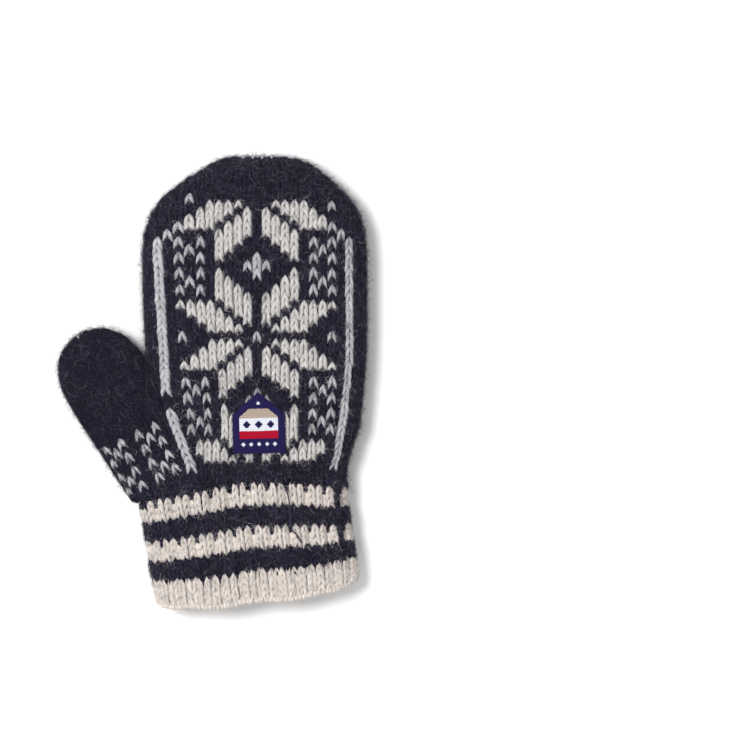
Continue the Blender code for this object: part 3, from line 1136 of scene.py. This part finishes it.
def patch_colour(x, y):
    """The thread at a place: lozenges, bands and the dark border around them."""
    for height, half, middles, thread in LOZENGES:
        if any(abs(x - middle) + abs(y - height) < half for middle in middles):
            return thread
    roof = PATCH_SHOULDER + PATCH_RIDGE * (1.0 - abs(x) / (PATCH_WIDTH / 2.0))
    if abs(x) < BANDS_HALF and BANDS_START < y < min(BANDS_END, roof - ROOF_BORDER):
        return next(thread for upper, thread in BANDS if y <= upper)
    return THREAD_NAVY


def woven_thread():
    """Fine weave: crossing ridges of thread over the colour of each place."""
    material, tree, shader = nodes_of("woven_thread")
    place = add_node(tree, "TexCoord").outputs["Object"]
    ridges = []
    for direction in ("X", "Y"):
        wave = add_node(tree, "TexWave", Vector=place, Scale=420.0, Distortion=1.2, Detail=1.0)
        wave.bands_direction = direction
        ridges.append(wave.outputs["Fac"])
    weave = add_math(tree, "MULTIPLY", *ridges)
    shade = add_node(tree, "MapRange", Value=weave, To_Min=0.7, To_Max=1.2)
    colour = stored(tree, "thread_colour", "Color")
    feed(tree, shader, Base_Color=tinted(tree, colour, shade.outputs["Result"]),
         Normal=relief(tree, weave, 0.5, 0.0002), Roughness=0.8, Specular_IOR_Level=0.1)
    return material


def patch_to_world(x, y):
    x, y = turned(x, y, PATCH_TURN)
    return PATCH_PLACE[0] + x, PATCH_PLACE[1] + y


def make_patch():
    """A fine grid in the shape of the house, with rolled edges and a wall behind it."""
    bpy.ops.object.select_all(action="DESELECT")
    bpy.ops.mesh.primitive_grid_add(x_subdivisions=84, y_subdivisions=98, size=2.0)
    patch = bpy.context.object
    patch.name = "woven_patch"
    mesh = patch.data
    places = points_of(mesh)
    side, up = places[:, 0], (places[:, 1] + 1.0) / 2.0
    x = side * PATCH_WIDTH / 2.0
    y = up * (PATCH_SHOULDER + PATCH_RIDGE * (1.0 - np.abs(side)))
    edge = np.minimum(np.minimum(1.0 - np.abs(side), 1.0 - up) * 2.0, up * 2.0)
    rolled = 0.00025 * (1.0 - smooth_step(edge / 0.10))
    worn = 0.00006 * np.sin(x * 900.0) * np.sin(y * 700.0 + 1.0)
    world_x, world_y = patch_to_world(x, y)
    z = hand_height(world_x, world_y, 1) + PATCH_LIFT + PATCH_THICKNESS - rolled + worn
    places = np.stack((world_x, world_y, z), axis=1)
    mesh.vertices.foreach_set("co", places.ravel())
    layer = mesh.color_attributes.new("thread_colour", "FLOAT_COLOR", "CORNER")
    corner_colours = np.ones((len(mesh.loops), 4), dtype=np.float32)
    for polygon in mesh.polygons:
        corners = list(polygon.vertices)
        colour = patch_colour(float(x[corners].mean()), float(y[corners].mean()))
        corner_colours[polygon.loop_start:polygon.loop_start + len(corners), :3] = colour
    layer.data.foreach_set("color", corner_colours.ravel())
    wall = patch.modifiers.new("Wall", "SOLIDIFY")
    wall.thickness = PATCH_THICKNESS
    wall.offset = -1.0
    bpy.ops.object.modifier_apply(modifier=wall.name)
    mesh.materials.append(woven_thread())
    mesh.shade_smooth()
    mesh.set_sharp_from_angle(angle=math.radians(50.0))
    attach(patch, "root")
    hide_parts("label")


make_patch()


def plain_thread(name, colour):
    """Smooth sewing thread with the twist of its plies."""
    material, tree, shader = nodes_of(name)
    plies = noise_in_place(tree, Scale=4000.0, Detail=1.0)
    dark, bright = ([part * share for part in colour] for share in (0.6, 1.3))
    feed(tree, shader, Base_Color=blend(tree, plies, (0.0, dark), (1.0, bright)), Roughness=0.5)
    return material


# The sewing stitches around the patch: their size, their tilt and their steps along its edges.
SEWN_LENGTH = 0.0014
SEWN_WIDTH = 0.00034
SEWN_TILT = math.radians(12.0)
SEWN_START = 0.0009
SIDE_STEP, SIDE_COUNT = 0.00155, 11
FOOT_STEP, FOOT_COUNT = 0.00154, 14
ROOF_COUNT = 9


def make_patch_stitches(material):
    """Small stitches of sewing thread over the sides, the foot and the roof of the patch."""
    spots = []
    half = PATCH_WIDTH / 2.0
    for step in range(SIDE_COUNT):
        y = SEWN_START + step * SIDE_STEP
        spots += [(-half, y, 0.0), (half, y, 0.0)]
    for step in range(FOOT_COUNT):
        spots.append((-half + SEWN_START + step * FOOT_STEP, 0.0, 1.0))
    for step in range(ROOF_COUNT):
        x = half * (step + 0.5) / ROOF_COUNT
        y = PATCH_SHOULDER + PATCH_RIDGE * (1.0 - x / half)
        spots += [(x, y, 0.7), (-x, y, -0.7)]
    shapes = []
    for x, y, turn in spots:
        along, across = LEG_POINTS[:, 2] * SEWN_LENGTH, LEG_POINTS[:, 0] * SEWN_WIDTH
        off_x, off_y = turned(along, across, turn * math.pi / 2.0 + SEWN_TILT)
        world_x, world_y = patch_to_world(x + off_x, y + off_y)
        rise = PATCH_LIFT + PATCH_THICKNESS - 0.00005 - 0.0016 * LEG_POINTS[:, 2] ** 2
        z = hand_height(world_x, world_y, 1) + rise - LEG_POINTS[:, 1] * 0.0003
        shapes.append(np.stack((world_x, world_y, z), axis=1))
    sewing = mesh_from_copies("patch_sewing", np.array(shapes), LEG_FACES, len(shapes), [material])
    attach(sewing, "root")


# The loose end of the sewing thread, as (x, y) from below the patch over the ribs.
TAIL = ((0.0032, -0.0538), (0.0053, -0.0567), (0.0095, -0.0601), (0.0124, -0.0628), (0.0141, -0.0666),
        (0.0149, -0.0710), (0.0152, -0.0762), (0.0158, -0.0811), (0.0179, -0.0836), (0.0200, -0.0869))
TAIL_THICK = 0.0006
TAIL_RISE = 0.0008


def make_tail(material):
    """The thread tail, laid over the ribs as a smooth curve through its points."""
    points = [Vector((x, y, float(cuff_height(np.float64(x), np.float64(y))) + TAIL_RISE)) for x, y in TAIL]
    data = bpy.data.curves.new("thread_tail", "CURVE")
    data.dimensions = "3D"
    data.bevel_depth = TAIL_THICK / 2.0
    data.bevel_resolution = 2
    data.use_fill_caps = True
    spline = data.splines.new("POLY")
    smooth = []
    for k in range(len(points) - 1):
        before, start = points[max(k - 1, 0)], points[k]
        end, after = points[k + 1], points[min(k + 2, len(points) - 1)]
        for step in range(5):
            t = step / 5.0
            smooth.append(0.5 * (2.0 * start + (end - before) * t
                                 + (2.0 * before - 5.0 * start + 4.0 * end - after) * t * t
                                 + (3.0 * start - before - 3.0 * end + after) * t ** 3))
    smooth.append(points[-1])
    spline.points.add(len(smooth) - 1)
    for point, place in zip(spline.points, smooth):
        point.co = (*place, 1.0)
    tail = new_object("thread_tail", data)
    data.materials.append(material)
    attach(tail, "root")


sewing_thread = plain_thread("sewing_thread", (0.0065, 0.0055, 0.032))
make_patch_stitches(sewing_thread)
make_tail(sewing_thread)

# Loose wool: hairs that lie over the knitting and stand out at its edges.
HAIR_POINTS = 6


def hair_faces():
    """A three-sided strand that closes to a point at both ends."""
    rings = HAIR_POINTS - 2
    last = 1 + 3 * rings
    faces = [(0, 1 + (k + 1) % 3, 1 + k) for k in range(3)]
    for ring in range(rings - 1):
        first = 1 + 3 * ring
        for k in range(3):
            after = (k + 1) % 3
            faces.append((first + k, first + after, first + 3 + after, first + 3 + k))
    top = last - 3
    return faces + [(last, top + k, top + (k + 1) % 3) for k in range(3)]


def grow_hairs(name, slot, material, roots, outward, length, thick, lift, curl, stand, spread):
    """Hairs from given roots: each walks off in its own direction, curling as it goes."""
    count = len(roots)
    helper = np.where(np.abs(outward[:, 2:]) < 0.9, (0.0, 0.0, 1.0), (1.0, 0.0, 0.0))
    side = np.cross(outward, helper)
    side /= np.maximum(np.linalg.norm(side, axis=1, keepdims=True), 1e-9)
    other = np.cross(outward, side)
    lengths = length * (0.5 + random.random(count) ** 1.5 * 1.2)
    heading = random.random(count) * math.tau
    turning = curl * random.normal(0.0, 1.0, count)
    lifts = lift * (0.35 + random.random(count))
    path = np.zeros((HAIR_POINTS, count, 3))
    place = roots.copy()
    step = lengths / (HAIR_POINTS - 1)
    climb = stand * (0.5 + random.random(count))
    for k in range(HAIR_POINTS):
        share = k / (HAIR_POINTS - 1)
        path[k] = place + outward * (lifts * math.sin(math.pi * min(share * 1.15, 1.0)))[:, None]
        ahead = np.cos(heading)[:, None] * side + np.sin(heading)[:, None] * other
        place = place + (ahead + outward * climb[:, None]) * step[:, None]
        heading = heading + turning + 0.35 * random.normal(0.0, 1.0, count)
    path[:, :, 2] = np.maximum(path[:, :, 2], 0.0002)
    thickness = thick * (0.75 + 0.5 * random.random(count))
    layers = [path[0]]
    for k in range(1, HAIR_POINTS - 1):
        ahead = path[k + 1] - path[k - 1]
        ahead /= np.maximum(np.linalg.norm(ahead, axis=1, keepdims=True), 1e-9)
        first = np.cross(ahead, outward)
        first /= np.maximum(np.linalg.norm(first, axis=1, keepdims=True), 1e-6)
        second = np.cross(ahead, first)
        taper = 0.55 + 0.45 * math.sin(math.pi * k / (HAIR_POINTS - 1))
        for corner in range(3):
            angle = math.tau * corner / 3.0
            offset = first * math.cos(angle) + second * math.sin(angle)
            layers.append(path[k] + offset * (thickness * taper)[:, None])
    layers.append(path[-1])
    points = np.stack(layers, axis=1)
    hairs = mesh_from_copies(name, points, hair_faces(), count, [material])
    shades = np.clip(1.0 + spread * random.normal(0.0, 1.0, count), 0.4, 1.8)
    set_shades(hairs, shades, points.shape[1])
    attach(hairs, "root")


ROOT_SCATTER = 0.0011
ROOT_DEPTH = 0.0003


def pick(places, outward, chosen, count):
    """Roots strewn over the chosen stitches."""
    index = random.choice(np.nonzero(chosen)[0], count)
    scatter = random.normal(0.0, ROOT_SCATTER, (count, 3))
    normal = outward[index]
    scatter -= normal * (scatter * normal).sum(axis=1, keepdims=True)
    return places[index] + scatter - normal * ROOT_DEPTH, normal


HAIRY = ("back", "palm", "thumb_back", "thumb_palm", "cuff")
places, outward, colours = (np.concatenate([fabric[part][k] for part in HAIRY]) for k in (1, 2, 3))
seen = outward[:, 2] > -0.3
navy, light = colours == NAVY, colours != NAVY
pale_hair = fibre("pale_hair", (0.18, 0.17, 0.215))
dark_hair = fibre("dark_hair", (0.024, 0.022, 0.042))
light_hair = fibre("light_hair", (0.66, 0.64, 0.62))

# Pale hairs are half as dense on the thumb. At the edges hairs stand out of the navy wool.
on_thumb = np.concatenate([np.full(len(fabric[part][1]), "thumb" in part) for part in HAIRY])
sparse = on_thumb & (random.random(len(on_thumb)) < 0.5)
edge = navy & (np.abs(outward[:, 2]) < 0.75) & (places[:, 1] > -0.066)

HAND, THUMB = "navy_wool", "thumb_wool"
HAIR_COLUMNS = ("name", "slot", "material", "count", "length", "thick", "lift", "curl", "stand", "spread")
HAIRS = (
    (("pale_hairs", HAND, pale_hair, 7000, 0.0046, 0.000023, 0.0007, 0.55, 0.0, 0.45),
     navy & seen & ~sparse),
    (("dark_hairs", HAND, dark_hair, 6200, 0.0032, 0.000058, 0.0007, 0.45, 0.0, 0.5), navy & seen),
    (("more_dark_hairs", HAND, dark_hair, 6200, 0.0032, 0.000058, 0.0007, 0.45, 0.0, 0.5), navy & seen),
    (("thumb_hairs", THUMB, dark_hair, 6000, 0.0024, 0.000048, 0.0005, 0.5, 0.0, 0.4),
     navy & seen & on_thumb),
    (("dark_hairs_below", HAND, dark_hair, 3000, 0.0032, 0.000042, 0.0004, 0.4, 0.0, 0.4), navy & ~seen),
    (("light_hairs", HAND, light_hair, 8000, 0.0028, 0.000030, 0.0006, 0.5, 0.0, 0.3), light & seen),
    (("light_hairs_below", HAND, light_hair, 3000, 0.0026, 0.000036, 0.0003, 0.3, 0.0, 0.25),
     light & ~seen),
    (("edge_hairs", HAND, dark_hair, 6500, 0.0024, 0.000026, 0.0002, 0.35, 0.7, 0.4), edge),
)
for row, chosen in HAIRS:
    kind = dict(zip(HAIR_COLUMNS, row))
    roots, normals = pick(places, outward, chosen, kind.pop("count"))
    grow_hairs(roots=roots, outward=normals, **kind)

# The surface that it lies on, the light and the camera.
FRAME_WIDTH = 0.315
FRAME_MIDDLE = (0.05061, -0.0168)
CAMERA_HEIGHT = 1.6
SENSOR = 36.0

bpy.ops.object.select_all(action="DESELECT")
bpy.ops.mesh.primitive_plane_add(size=6.0, location=(0, 0, 0))
table = bpy.context.object
table.name = "table"
paper, tree, shader = nodes_of("paper")
feed(tree, shader, Base_Color=(0.98, 0.98, 0.98, 1.0), Roughness=0.9, Specular_IOR_Level=0.0)
table.data.materials.append(paper)

camera_data = bpy.data.cameras.new("camera")
camera_data.sensor_width = SENSOR
camera_data.lens = SENSOR * (CAMERA_HEIGHT - HAND_HEIGHT / 2.0) / FRAME_WIDTH
camera = new_object("camera", camera_data)
camera.location = (*FRAME_MIDDLE, CAMERA_HEIGHT)
bpy.context.scene.camera = camera


def add_softbox(name, place, size, power):
    data = bpy.data.lights.new(name, "AREA")
    data.shape = "DISK"
    data.size = size
    data.energy = power
    lamp = new_object(name, data)
    lamp.location = place
    lamp.rotation_euler = (-lamp.location).to_track_quat("-Z", "Y").to_euler()


add_softbox("key", (-0.75, 0.28, 1.6), 0.7, 26.5)
world = bpy.data.worlds.new("studio")
bpy.context.scene.world = world
world.use_nodes = True
feed(world.node_tree, world.node_tree.nodes["Background"], Color=(1.0, 1.0, 1.0, 1.0), Strength=0.64)
bpy.context.scene.view_settings.view_transform = "Standard"
